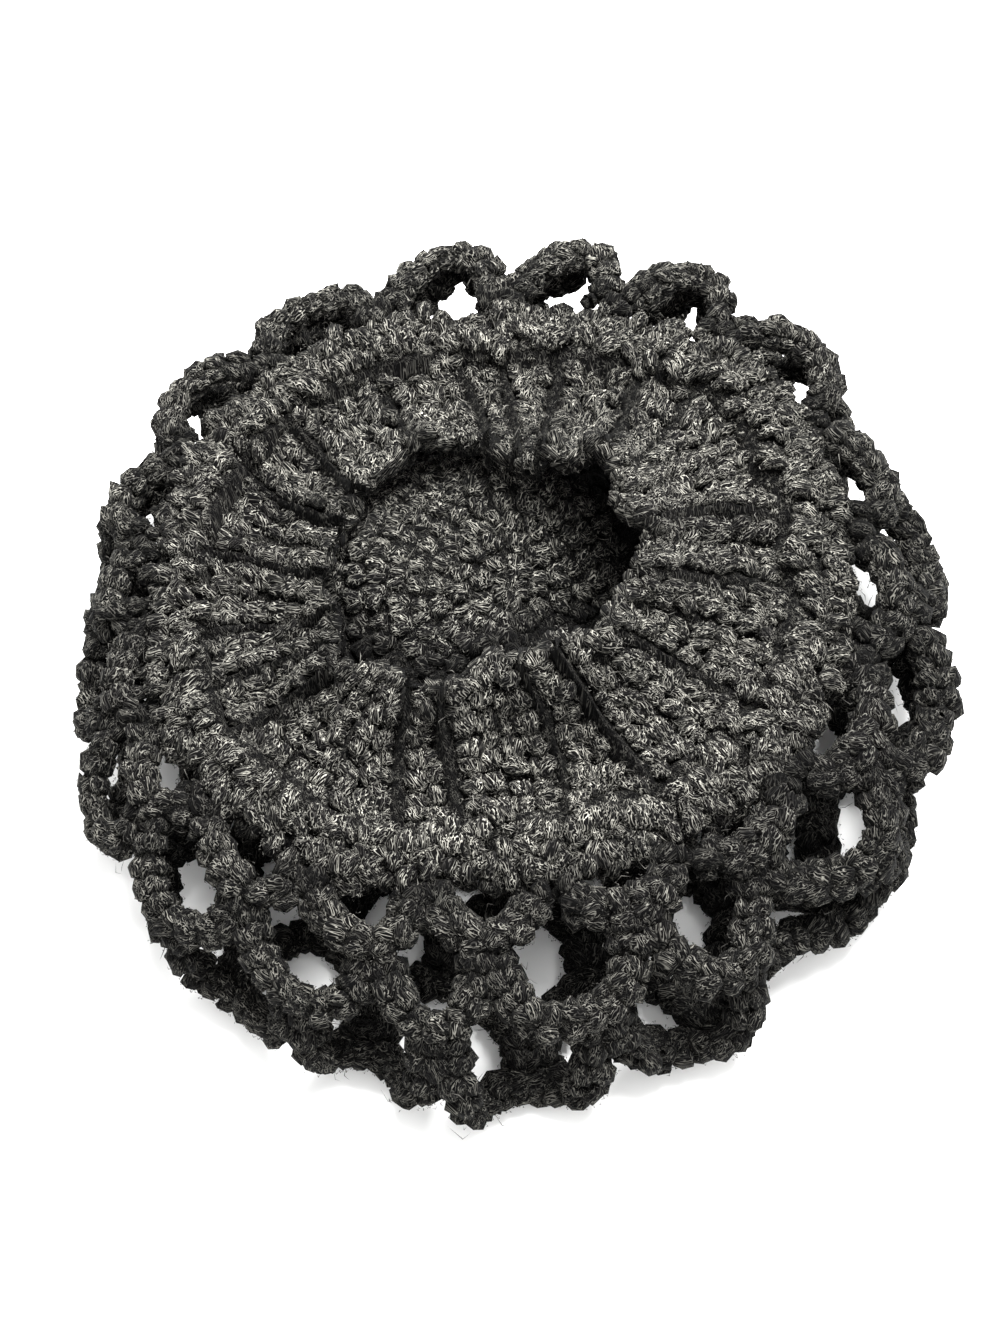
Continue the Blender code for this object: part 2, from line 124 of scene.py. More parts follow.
crown = {
    "diameter": 0.172, "right": -0.006, "back": 0.022, "fabric": 0.007, "rise": 0.041,
    "flatRim": 0.12, "slope": 0.24,  # shares of the radius
    # right, back, height, spread of each soft rise, as shares of the radius
    "rises": [
        (-0.2, 0.1, 0.88, 0.8), (-0.62, 0.16, 0.22, 0.25), (0.02, 0.5, 0.34, 0.26),
        (0.55, 0.0, -0.25, 0.3), (-0.1, -0.3, 0.12, 0.12), (0.16, -0.1, -0.1, 0.12)],
}

crownLow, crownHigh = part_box("crown")
crownMiddle = (crownLow + crownHigh) / 2
origin = np.array([crownMiddle.x - crown["right"], crownMiddle.y - crown["back"], 0.0])
upright = np.array([0.0, 0.0, 1.0])


def unit(vectors):
    return vectors / np.maximum(np.linalg.norm(vectors, axis=-1, keepdims=True), 1e-12)


def eased(share):
    return share * share * (3 - 2 * share)


def column(rows, which, azimuth):  # one column of a table at each azimuth, eased all the way round
    at = np.concatenate([rows[-1:, 0] - 360, rows[:, 0], rows[:1, 0] + 360])
    azimuth = np.mod(azimuth, 360.0)
    after = np.searchsorted(at, azimuth, side="right")
    share = (azimuth - at[after - 1]) / (at[after] - at[after - 1])
    low, high = rows[after - 2, which], rows[(after - 1) % len(rows), which]
    return low + (high - low) * eased(share)


def levelEllipse(azimuth, width, depth, right, back, height):
    turn = np.radians(azimuth)
    return origin + np.stack([right + width / 2 * np.cos(turn), back + depth / 2 * np.sin(turn),
                              height + 0 * turn], axis=-1)


def joiningLine(azimuth, grown=0.0):
    reach = column(joining["edges"], 1, azimuth)
    return levelEllipse(azimuth, joining["width"] * reach + 2 * grown, joining["depth"] * reach + 2 * grown,
                        joining["right"], joining["back"], joining["height"])


def bodyProfiles(azimuth):  # the body cut upright at each azimuth, from the joining round down to the crown
    reach = column(hat["slouch"], 1, azimuth)
    top = joiningLine(azimuth, joining["cord"] / 2 + joining["gap"])[:, None]
    wide = levelEllipse(azimuth, hat["width"] * reach - hat["strandThickness"],
                        hat["depth"] * reach - hat["strandThickness"], 0.0, 0.0,
                        hat["widestHeight"] * column(hat["hangs"], 1, azimuth))[:, None]
    across = crown["diameter"] + 2 * joining["gap"]
    low = levelEllipse(azimuth, across, across, crown["right"], crown["back"], hat["strandThickness"] / 2)[:, None]
    turns = np.linspace(0, pi / 2, hat["profileSteps"] + 1)[:, None]
    early, late, even = np.sin(turns), 1 - np.cos(turns), turns / (pi / 2)
    level = 1 - upright
    over = top + (wide - top) * (level * early + upright * late)
    bulging = level * late + upright * early
    folded = level * even + upright * eased(even)
    under = wide + (low - wide) * (bulging + (folded - bulging) * column(hat["hangs"], 2, azimuth)[:, None, None])
    points = np.concatenate([over, under[:, 1:]], axis=1)
    steps = np.linalg.norm(np.diff(points, axis=1), axis=2)
    return points, np.concatenate([0 * steps[:, :1], np.cumsum(steps, axis=1)], axis=1)


def bodyLength(azimuth):
    return bodyProfiles(azimuth)[1][:, -1]


def smoothBody(azimuth, distance):
    points, lengths = bodyProfiles(azimuth)
    after = np.clip((lengths < distance[:, None]).sum(axis=1), 1, lengths.shape[1] - 1)
    row = np.arange(len(after))
    start, end = lengths[row, after - 1], lengths[row, after]
    share = ((distance - start) / (end - start))[:, None]
    return points[row, after - 1] + (points[row, after] - points[row, after - 1]) * share


def bodySurface(azimuth, distance):  # the body's middle surface with its soft dents, and its outward direction
    length = bodyLength(azimuth)
    step, turned = hat["slopeStep"], hat["slopeTurn"]
    above, below = np.maximum(distance - step, 0), np.minimum(distance + step, length)
    down = smoothBody(azimuth, below) - smoothBody(azimuth, above)
    along = smoothBody(azimuth + turned, distance) - smoothBody(azimuth - turned, distance)
    normal = unit(np.cross(down, along))
    push = 0 * azimuth
    for place, share, depth, turn, spread in hat["dents"]:
        aside = (np.mod(azimuth - place + 180, 360) - 180) / turn
        away = (distance / length - share) / spread
        push = push + hat["dentDepth"] * depth * np.exp(-aside * aside - away * away)
    held = np.sin(pi * np.clip(distance / length, 0, 1))
    return smoothBody(azimuth, distance) + normal * (push * held)[:, None], normal


def junction(level, arch):  # where the feet of one round hook on the arches of the round before
    lowered = min(max((level - 1) / 2, 0), 1)
    azimuths = hat["arches"][:, 0] * (1 - lowered) + hat["arches"][:, 1] * lowered
    laps, row = divmod(arch - 1 + level % 2, len(azimuths))
    nextLaps, nextRow = divmod(arch, len(azimuths))
    return (azimuths[row] + 360 * laps + azimuths[nextRow] + 360 * nextLaps) / 2


def levelDistance(level, azimuth):  # how far along the body two rounds meet
    deeper = column(hat["arches"], 2, azimuth)
    wave = hat["roundSway"] * np.sin(np.radians(hat["swayWaves"] * azimuth) + hat["swayShift"] * level)
    even = hat["rounds"] * (level / hat["rounds"]) ** column(hat["hangs"], 3, azimuth)
    share = even + (wave + deeper) * np.sin(pi * level / hat["rounds"])
    return bodyLength(azimuth) * share / hat["rounds"]


def creaseLines(share):  # the azimuth of every crease at a share of the way in, one row for each point
    outer, half, rim = band["creases"][:, :3].T
    share = share[:, None]
    lines = (1 - share) ** 2 * outer + share * (1 - share) * (4 * half - outer - rim) + share ** 2 * rim
    return np.concatenate([lines, lines[:, :1] + 360], axis=1)


def foldAt(azimuth, share):  # which fold a point lies on, and how far across it
    lines = creaseLines(share)
    azimuth = lines[:, 0] + np.mod(azimuth - lines[:, 0], 360.0)
    which = np.clip((lines <= azimuth[:, None]).sum(axis=1) - 1, 0, len(band["creases"]) - 1)
    row = np.arange(len(which))
    return which, (azimuth - lines[row, which]) / (lines[row, which + 1] - lines[row, which])


def foldAzimuth(fold, share):  # the azimuth at a place counted in folds, such as half way across fold 3 at 3.5
    count = len(band["creases"])
    lap, place = np.divmod(fold, count)
    which = np.minimum(place.astype(int), count - 1)
    lines, row = creaseLines(share), np.arange(len(which))
    start, end = lines[row, which], lines[row, which + 1]
    return start + (end - start) * (place - which) + 360 * lap


def creaseDepth(which, across):  # the depth of the crease that is nearest
    depths = band["creases"][:, 3]
    return np.where(across < 0.5, depths[which], depths[(which + 1) % len(depths)])


def bandPoint(azimuth, share):  # the band's middle surface, from the joining round at 0 to the opening at 1
    which, across = foldAt(azimuth, share)
    crease = (1 - np.sin(pi * np.clip(across, 0, 1)) ** band["foldRoundness"]) * creaseDepth(which, across)
    fold = band["foldCrest"] - 2 * band["foldDepth"] * crease
    rise, reach = column(band["ribs"], 1, azimuth), column(band["ribs"], 2, azimuth)
    swell = sum(np.sin(np.radians(waves * azimuth) + start + inwards * share)
                for waves, start, inwards in band["swells"])
    share = share[:, None]
    seat = joiningLine(azimuth, -(joining["cord"] / 2 + joining["gap"]))
    grown = column(joining["edges"], 2, azimuth)
    inward = 2 * band["ribReach"] * reach
    rim = levelEllipse(azimuth, band["openingWidth"] * grown - inward, band["openingDepth"] * grown - inward,
                       joining["right"], joining["back"],
                       band["openingHeight"] * column(joining["edges"], 3, azimuth))
    turn = np.radians(azimuth)
    along = np.stack([-np.sin(turn), np.cos(turn), 0 * turn], axis=-1)
    facing = unit(np.cross(along, seat - rim))
    facing = unit(upright + (facing - upright) * np.minimum(1.0, share / band["settled"]))
    standing = band["ribRise"] * (band["ribAtJoin"] + (1 - band["ribAtJoin"]) * share) * (rise * fold)[:, None]
    standing = standing + band["bulge"] * swell[:, None] * np.sin(pi * share)
    standing = standing + band["overCord"] * np.clip(-share / band["cordShare"], 0, 1)
    return seat + (rim - seat) * share + facing * (standing + band["puff"] * np.sin(pi * share))


def crownPoint(azimuth, share):
    right, back = share * np.cos(np.radians(azimuth)), share * np.sin(np.radians(azimuth))
    height = 0 * right
    for rightAt, backAt, rise, spread in crown["rises"]:
        away = np.hypot(right - rightAt, back - backAt) / spread
        height = height + crown["rise"] * rise * np.exp(-away * away)
    height = height * eased(np.clip((1 - crown["flatRim"] - share) / crown["slope"], 0, 1))
    radius = crown["diameter"] / 2
    return origin + np.stack([crown["right"] + radius * right, crown["back"] + radius * back,
                              crown["fabric"] / 2 + height], axis=-1)


view = {
    # the camera's aim, its angle above the floor in degrees, its distance and its lens in mm
    "aim": (-0.003, 0.0097, 0.0032), "elevation": 63, "distance": 1.1, "lens": 119.3,
    # the floor's size in metres, the strength of the white all round, and the softbox in watts and metres
    "floor": "#f6f6f5", "floorRoughness": 0.9, "floorSize": 3.0, "sky": 1.8,
    "softbox": 95.0, "softboxSize": 0.9, "softboxAt": (0.24, 0.5, 1.27),
}


def linear(code):  # an sRGB hex colour as linear red, green, blue and alpha
    parts = [int(code[i:i + 2], 16) / 255 for i in (1, 3, 5)]
    return [p / 12.92 if p <= 0.04045 else ((p + 0.055) / 1.055) ** 2.4 for p in parts] + [1.0]


def addNode(material, kind, settings, links={}):  # one shader node with its settings, and what feeds its sockets
    node = material.node_tree.nodes.new("ShaderNode" + kind)
    for key, value in settings.items():
        if isinstance(key, int) or key in node.inputs:
            node.inputs[key].default_value = value
        else:
            setattr(node, key, value)
    for key, source in links.items():
        material.node_tree.links.new(source, node.inputs[key])
    return node


def newMaterial(name, settings):
    material = bpy.data.materials.new(name)
    material.use_nodes = True
    surface = material.node_tree.nodes["Principled BSDF"]
    for key, value in settings.items():
        surface.inputs[key].default_value = value
    return material, surface


def link(material, source, node, socket):
    material.node_tree.links.new(source, node.inputs[socket])


def placed(name, data):  # a new object in the scene
    thing = bpy.data.objects.new(name, data)
    bpy.context.scene.collection.objects.link(thing)
    return thing


def turnedTo(direction):  # a camera or a light looks along its own -Z
    return direction.to_track_quat("-Z", "Y").to_euler()


camera = placed("camera", bpy.data.cameras.new("camera"))
aim, tilt = Vector(view["aim"]), radians(view["elevation"])
backwards = Vector((0, -np.cos(tilt), np.sin(tilt)))
camera.location = aim + backwards * view["distance"]
camera.rotation_euler = turnedTo(-backwards)
camera.data.lens = view["lens"]
camera.data.sensor_fit = "HORIZONTAL"
bpy.context.scene.camera = camera
bpy.context.scene.view_settings.view_transform = "Standard"

world = bpy.data.worlds.new("studio")
bpy.context.scene.world = world
world.use_nodes = True
world.node_tree.nodes["Background"].inputs["Color"].default_value = linear("#ffffff")
world.node_tree.nodes["Background"].inputs["Strength"].default_value = view["sky"]

softbox = placed("softbox", bpy.data.lights.new("softbox", "AREA"))
softbox.data.size, softbox.data.energy = view["softboxSize"], view["softbox"]
softbox.location = view["softboxAt"]
softbox.rotation_euler = turnedTo(-Vector(view["softboxAt"]))

sheet = bmesh.new()
bmesh.ops.create_grid(sheet, x_segments=1, y_segments=1, size=view["floorSize"])
floorMesh = bpy.data.meshes.new("floor")
sheet.to_mesh(floorMesh)
sheet.free()
floor = placed("floor", floorMesh)
# plain backdrop paper: pale, no gloss
paper, _ = newMaterial("matt_white_paper", {"Base Color": linear(view["floor"]), "Roughness": view["floorRoughness"]})
floorMesh.materials.append(paper)
print("camera, light and floor made")

wool = {
    # worsted wool and acrylic melange: dark fibres with pale ones spun in, twisted into a soft plied yarn.
    # The eye sees short pale curls side by side, slantwise on each strand, on a nearly black ground, and no gloss
    "dark": "#020202", "ground": "#080808", "soft": "#2c2b29", "pale": "#8c8a82", "strayPale": "#7b7973",
    "curlSpacing": 0.79,  # mm between curls, coarser than the real fibre so that it shows
    "curlLength": 1.2,  # mm before a curl dives back into the yarn
    "layers": [(56, 1.0, 3.0), (8, 1.15, 41.0)],  # degrees from the strand, times the spacing, where it starts
    "scatter": 0.9, "bow": 6.0, "lean": 1.1,  # how far the curls lie out of place, bend and tilt
    "curlWidth": (0.21, 0.07), "curlReach": (0.54, 0.36),  # where a curl ends, and where it is full
    "swirl": 4.6, "swirlReach": 2.2,  # mm between the tangles of the fibres, and how far they pull them
    "mixScale": 0.55, "mixEdges": (0.34, 0.66),  # how quickly pale curls give way to grey ones, for each mm
    "blotch": 11.0,  # mm, the slow change of the mix along the ball
    "relief": 0.0009,  # metres
    "roughness": 0.9, "sheen": 0.01, "sheenRoughness": 0.5, "gloss": 0.05,
    "strayRoughness": 0.8, "strayGloss": 0.1,
}


def curls(material, uv, turn, spacing, seed):  # a mask of short curls, each bent and tilted in its own way
    laid = addNode(material, "Mapping", {"vector_type": "TEXTURE", "Rotation": (0, 0, radians(turn)),
                                         "Location": (seed, seed, 0), "Scale": (spacing, wool["curlLength"], 1)},
                   {"Vector": uv})
    cells = addNode(material, "TexVoronoi", {"voronoi_dimensions": "2D", "Scale": 1.0, "Randomness": wool["scatter"]},
                    {"Vector": laid.outputs[0]})
    away = addNode(material, "VectorMath", {"operation": "SUBTRACT"},
                   {0: laid.outputs[0], 1: cells.outputs["Position"]})
    place = addNode(material, "SeparateXYZ", {}, {0: away.outputs[0]})
    own = addNode(material, "SeparateColor", {}, {0: cells.outputs["Color"]})
    bow, lean = (addNode(material, "MapRange", {"To Min": -most, "To Max": most}, {"Value": own.outputs[which]})
                 for which, most in enumerate((wool["bow"], wool["lean"])))
    bowed = addNode(material, "Math", {"operation": "MULTIPLY_ADD"},
                    {0: bow.outputs[0], 1: place.outputs[1], 2: lean.outputs[0]})
    across = addNode(material, "Math", {"operation": "MULTIPLY_ADD"},
                     {0: bowed.outputs[0], 1: place.outputs[1], 2: place.outputs[0]})
    masks = []
    for offset, (end, full) in ((across.outputs[0], wool["curlWidth"]), (place.outputs[1], wool["curlReach"])):
        size = addNode(material, "Math", {"operation": "ABSOLUTE"}, {0: offset})
        masks.append(addNode(material, "MapRange", {"interpolation_type": "SMOOTHSTEP", "From Min": full,
                                                    "From Max": end, "To Min": 1.0, "To Max": 0.0},
                             {"Value": size.outputs[0]}).outputs[0])
    return addNode(material, "Math", {"operation": "MULTIPLY"}, {0: masks[0], 1: masks[1]}).outputs[0]


def woolYarn(name):
    material, surface = newMaterial(name, {
        "Roughness": wool["roughness"], "Sheen Weight": wool["sheen"], "Sheen Roughness": wool["sheenRoughness"],
        "Specular IOR Level": wool["gloss"]})
    uv = addNode(material, "UVMap", {"uv_map": "strand"})
    place = addNode(material, "TexCoord", {})
    tone = addNode(material, "Attribute", {"attribute_name": "tone"})
    tangle = addNode(material, "TexNoise", {"noise_dimensions": "2D", "Scale": 1 / wool["swirl"], "Detail": 1.0},
                     {"Vector": uv.outputs[0]})
    pulled = addNode(material, "VectorMath", {"operation": "MULTIPLY_ADD", 1: (wool["swirlReach"],) * 3},
                     {0: tangle.outputs["Color"], 2: uv.outputs[0]})
    first, second = (curls(material, pulled.outputs[0], turn, wool["curlSpacing"] * times, start)
                     for turn, times, start in wool["layers"])
    both = addNode(material, "Math", {"operation": "MAXIMUM"}, {0: first, 1: second}).outputs[0]
    # some curls are pale and some grey
    paleness = addNode(material, "TexNoise", {"noise_dimensions": "2D", "Scale": wool["mixScale"], "Detail": 0.0},
                       {"Vector": uv.outputs[0]})
    spread = addNode(material, "MapRange", {"From Min": wool["mixEdges"][0], "From Max": wool["mixEdges"][1]},
                     {"Value": paleness.outputs[0]})
    hair = addNode(material, "Mix", {"data_type": "RGBA", 6: linear(wool["soft"]), 7: linear(wool["pale"])},
                   {0: spread.outputs[0]})
    blotches = addNode(material, "TexNoise", {"Scale": 1000 / wool["blotch"], "Detail": 3.0},
                       {"Vector": place.outputs["Object"]})
    ground = addNode(material, "Mix", {"data_type": "RGBA", 6: linear(wool["dark"]), 7: linear(wool["ground"])},
                     {0: blotches.outputs[0]})
    mixed = addNode(material, "Mix", {"data_type": "RGBA"},
                    {0: both, 6: ground.outputs[2], 7: hair.outputs[2]})
    # the tone attribute scales the colour: the stitches' own random tone, and painted shade that falls off towards
    # their buried sides and ends, in the creases, under the band's edge and in the lower rounds
    shaded = addNode(material, "VectorMath", {"operation": "SCALE"},
                     {0: mixed.outputs[2], "Scale": tone.outputs["Fac"]})
    link(material, shaded.outputs[0], surface, "Base Color")
    bump = addNode(material, "Bump", {"Strength": 1.0, "Distance": wool["relief"]}, {"Height": both})
    link(material, bump.outputs[0], surface, "Normal")
    return material


def looseFibres(name):  # single fibres that stand out of the yarn: some pale, some nearly black
    material, surface = newMaterial(name, {"Roughness": wool["strayRoughness"],
                                           "Specular IOR Level": wool["strayGloss"]})
    tone = addNode(material, "Attribute", {"attribute_name": "tone"})
    mixed = addNode(material, "Mix", {"data_type": "RGBA", 6: linear(wool["ground"]), 7: linear(wool["strayPale"])},
                    {0: tone.outputs["Fac"]})
    link(material, mixed.outputs[2], surface, "Base Color")
    return material


yarnLook = woolYarn("plied_melange_wool")
fibreLook = looseFibres("loose_wool_fibres")
print("materials made")

strand = {
    "side": 0.42, "sideFall": 1.4, "ends": 0.3, "endFall": 5,  # painted shade: how much darker yarn is below and at its ends
    "uneven": 0.12,  # share of its girth
    "curve": 1.1,  # how much longer a bent length is than the way from end to end
    "longestLeg": 0.0066, "widestStitch": 0.0094,  # metres from the middle of a length to its end, and across
    "lowest": 0.0003, "lowestHeart": 0.0006,  # metres above what the hat lies on
}


def taken(shape):  # the points and faces of a finished shape
    shape.verts.index_update()
    faces = [[loop.vert.index for loop in face.loops] for face in shape.faces]
    template = {"points": np.array([v.co for v in shape.verts]), "corners": np.concatenate(faces),
                "sizes": np.array([len(face) for face in faces])}
    shape.free()
    return template


def lengthOfYarn(sides, rings, bluntness):  # a closed rounded length along z from -1 to 1, with its UV map
    shape = bmesh.new()
    uvLayer = shape.loops.layers.uv.new("strand")
    bmesh.ops.create_uvsphere(shape, u_segments=sides, v_segments=rings, radius=1.0, calc_uvs=True)
    uvs = np.array([loop[uvLayer].uv for face in shape.faces for loop in face.loops])
    template = taken(shape)
    wide = np.linalg.norm(template["points"][:, :2], axis=1, keepdims=True)
    template["points"][:, :2] *= np.where(wide > 1e-6, wide ** bluntness / np.maximum(wide, 1e-6), 0)
    return {**template, "uvs": uvs}


stitchYarn, hiddenYarn, singleFibre = lengthOfYarn(6, 5, 0.6), lengthOfYarn(5, 4, 0.6), lengthOfYarn(3, 2, 1.0)


def drawnIn(point, middle):  # an end of a length that is no further from its middle than yarn reaches
    away = np.linalg.norm(point - middle, axis=1)
    return middle + (point - middle) * np.minimum(1, strand["longestLeg"] / np.maximum(away, 1e-9))[:, None]


def bent(start, middle, end, normal, wide, thick, tone, shade=1.0):
    # lengths of yarn, each on a curve through 3 points; tone is one for each, shade may differ at the 3 points
    start, end = drawnIn(start, middle), drawnIn(end, middle)
    return {"start": start, "knee": 2 * middle - (start + end) / 2, "end": end, "normal": normal,
            "wide": wide, "thick": thick, "tone": tone[:, None] * np.broadcast_to(shade, (len(tone), 3))}


def leg(places, outward, fat, yarn, differ, tone, shade=1.0, room=1):
    # one leg of each stitch in a row, through three places, with its own girth and tone
    fatness = fat / 2 * chance.normal(1, differ["fatness"], len(outward))
    return bent(*places, outward, fatness * yarn[0] * room, fatness * yarn[1],
                tone * chance.normal(1.0, differ["paleness"], len(outward)), shade)


def gathered(lengths):  # several sets of lengths as one
    return {key: np.concatenate([each[key] for each in lengths]) for key in lengths[0]}


def alongCurve(yarn, share):  # points of each curve at a share of its length, two directions across, one along
    share = np.broadcast_to(share, (len(yarn["start"]), np.shape(share)[-1]))[..., None]
    start, knee, end = (yarn[key][:, None] for key in ("start", "knee", "end"))
    point = (1 - share) ** 2 * start + 2 * share * (1 - share) * knee + share ** 2 * end
    heading = unit(2 * (1 - share) * (knee - start) + 2 * share * (end - knee))
    side = unit(np.cross(heading, yarn["normal"][:, None]))
    return point, side, np.cross(side, heading), heading


def bentCopies(template, yarn):
    shape = template["points"]
    point, side, out, _ = alongCurve(yarn, (shape[:, 2] + 1) / 2)
    uneven = chance.normal(1, strand["uneven"], (len(point), len(shape)))
    points = (point + side * (shape[:, 0] * uneven * yarn["wide"][:, None])[..., None]
              + out * (shape[:, 1] * uneven * yarn["thick"][:, None])[..., None])
    points[..., 2] = np.maximum(points[..., 2], strand["lowest"])
    girth = 1000 * pi * (yarn["wide"] + yarn["thick"])
    length = 1000 * np.linalg.norm(yarn["end"] - yarn["start"], axis=1) * strand["curve"]
    scale = np.stack([girth, length], axis=1)[:, None]
    uvs = template["uvs"] * scale + chance.uniform(0, 400, (len(girth), 1, 2))
    depth, share = (1 - shape[:, 1]) / 2, (shape[:, 2] + 1) / 2
    # painted shade on each length's buried underside and at its ends
    tone = 1 - strand["side"] * depth ** strand["sideFall"]
    tone = tone * (1 - strand["ends"] * abs(shape[:, 2]) ** strand["endFall"])
    start, middle, end = (yarn["tone"][:, i, None] for i in range(3))
    along = np.where(share < 0.5, start + (middle - start) * 2 * share, middle + (end - middle) * (2 * share - 1))
    return {"points": points, "uvs": uvs, "tone": along * tone, "template": template}


def insideOf(node, inset, tone):  # the inside of a piece, painted dark as shade: its CAD node drawn in a little
    heart = bmesh.new()
    heart.from_mesh(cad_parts[node].data)
    bmesh.ops.remove_doubles(heart, verts=heart.verts[:], dist=1e-6)
    heart.normal_update()
    for vert, normal in [(v, v.normal.copy()) for v in heart.verts]:
        vert.co -= normal * inset
        vert.co.z = max(vert.co.z, strand["lowestHeart"])
    bmesh.ops.recalc_face_normals(heart, faces=heart.faces[:])
    return copied(heart, tone)


def copied(heart, tone):  # one copy of a finished shape, for joining with the stitches
    template = taken(heart)
    points = template["points"][None]
    return {"points": points, "uvs": 1000 * points[:, template["corners"], :2],
            "tone": np.full(points.shape[:2], tone), "template": template}


def filled(rows, key, values, kind):
    rows.foreach_set(key, np.concatenate(values).astype(kind).ravel())


def joined(name, parts, node):  # one mesh from all copies of all parts, each part with its material
    points, corners, sizes, uvs, tones, slots = [], [], [], [], [], []
    used = 0
    for which, (copies, _) in enumerate(parts):
        template, (count, each) = copies["template"], copies["points"].shape[:2]
        points.append(copies["points"].reshape(-1, 3))
        corners.append((template["corners"] + used + each * np.arange(count)[:, None]).ravel())
        sizes.append(np.tile(template["sizes"], count))
        uvs.append(copies["uvs"].reshape(-1, 2))
        tones.append(copies["tone"].ravel())
        slots.append(np.full(len(sizes[-1]), which))
        used += count * each
    sizes = np.concatenate(sizes)
    mesh = bpy.data.meshes.new(name)
    mesh.vertices.add(used)
    mesh.loops.add(int(sizes.sum()))
    mesh.polygons.add(len(sizes))
    filled(mesh.vertices, "co", points, np.float32)
    filled(mesh.loops, "vertex_index", corners, np.int32)
    filled(mesh.polygons, "loop_start", [[0], np.cumsum(sizes)[:-1]], np.int32)
    filled(mesh.polygons, "material_index", slots, np.int32)
    mesh.update(calc_edges=True)
    filled(mesh.uv_layers.new(name="strand").uv, "vector", uvs, np.float32)
    filled(mesh.attributes.new("tone", "FLOAT", "POINT").data, "value", tones, np.float32)
    mesh.shade_smooth()
    for _, look in parts:
        mesh.materials.append(look)
    piece = placed(name, mesh)
    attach(piece, "root")
    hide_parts(node)
    print(name, "made,", int((sizes - 2).sum()), "triangles")


fibres = {
    "width": 0.00013, "unevenWidth": (0.7, 1.3),
    "shortest": 0.0011, "longest": 0.0023, "strays": 0.03, "strayLongest": 0.01,  # metres, and the share of strays
    "within": (0.08, 0.92), "around": 0.55,  # where along the yarn they come out, and how far round, in half turns
    "turn": (0.9, 0.7),  # radians from the yarn's direction, and how much that differs
    "reach": 0.00045, "lift": (0.2, 1.4), "strayLift": (0.001, 0.004),  # how far they stand off
    "half": 0.45, "bow": 0.45, "rooted": 0.0003,  # shares of their length, and metres under the yarn's surface
    "tones": (0.1, 1.2),  # of the yarn's own
}


def fibresOn(yarn, count):  # hooked fibres that come out of the yarn, and a few long strays
    pick = chance.integers(0, len(yarn["start"]), count)
    chosen = {key: value[pick] for key, value in yarn.items()}
    places = chance.uniform(*fibres["within"], (count, 1))
    point, side, out, heading = (each[:, 0] for each in alongCurve(chosen, places))
    around = chance.uniform(-fibres["around"], fibres["around"], count)[:, None] * pi
    outward = unit(out * np.cos(around) + side * np.sin(around))
    root = point + out * np.cos(around) * chosen["thick"][:, None] + side * np.sin(around) * chosen["wide"][:, None]
    crosswise = np.cross(outward, heading)
    turn = chance.normal(*fibres["turn"], count)[:, None]
    lying = heading * np.cos(turn) + crosswise * np.sin(turn)
    aside = np.cross(outward, lying)
    stray = (chance.random(count) < fibres["strays"])[:, None]
    length = chance.uniform(fibres["shortest"], fibres["longest"], count)[:, None]
    length = np.where(stray, chance.uniform(fibres["longest"], fibres["strayLongest"], (count, 1)), length)
    lift = np.where(stray, chance.uniform(*fibres["strayLift"], (count, 1)),
                    fibres["reach"] * chance.uniform(*fibres["lift"], (count, 1)))
    bow = chance.uniform(-fibres["bow"], fibres["bow"], (count, 1)) * length
    middle = root + outward * lift + aside * bow
    start = root - lying * length * fibres["half"] - outward * np.where(stray, 0.0, fibres["rooted"])
    end = root + lying * length * fibres["half"] + outward * np.where(stray, lift, -fibres["rooted"])
    half = np.full(count, fibres["width"]) * chance.uniform(*fibres["unevenWidth"], count)
    tone = chosen["tone"][:, 1] * chance.uniform(*fibres["tones"], count)
    return bent(start, middle, end, outward, half, half, tone)


def stitchPart(lengths, template=stitchYarn):  # a part of a piece and its material
    return bentCopies(template, gathered(lengths)), yarnLook


def fibrePart(lengths, count):
    return bentCopies(singleFibre, fibresOn(gathered(lengths), count)), fibreLook


def rope(points, normals):  # a line through the middle of a row of stitches, with its directions
    steps = np.linalg.norm(np.diff(points, axis=0), axis=1)
    length = np.concatenate([[0], np.cumsum(steps)])
    along = unit(np.gradient(points, length, axis=0))
    side = unit(np.cross(along, normals))
    return {"length": length, "points": points, "side": side, "normals": unit(np.cross(side, along))}


def onRope(line, at, across, height):  # points beside a rope's line, and the outward direction there
    points, side, out = (np.stack([np.interp(at, line["length"], line[key][:, i]) for i in range(3)], axis=-1)
                         for key in ("points", "side", "normals"))
    return points + side * across[:, None] + out * height[:, None], out


def stitchesOn(line, at, pattern, pitch, width, thickness, yarn, loose, tone):  # the stitches along a rope
    made = []
    # painted shade at the feet, where a rope tucks under the round before
    foot = np.minimum(at, line["length"][-1] - at) / arches["footShade"]
    shade = np.clip(line["footTone"] + (1 - line["footTone"]) * foot, 0, 1)[:, None]
    slips = arches["slips"]
    for start, middle, end, fat in pattern:
        slip = chance.normal(0, loose, (3, 3, len(at)))
        ends = [onRope(line, at + pitch * (a + s[0] * slips[0]), width / 2 * (b + s[1] * slips[1]),
                       thickness / 2 * (c + s[2] * slips[2])) for (a, b, c), s in zip((start, middle, end), slip)]
        outward = unit(ends[1][1] * np.sign(middle[2] + 1e-3))
        if abs(middle[2]) < arches["edgeHeight"]:  # the legs that go round an edge face outwards
            outward = unit(ends[1][0] - onRope(line, at, 0 * at, 0 * at)[0])
        made.append(leg([place for place, _ in ends], outward, fat, yarn, arches, tone, shade))
    return made


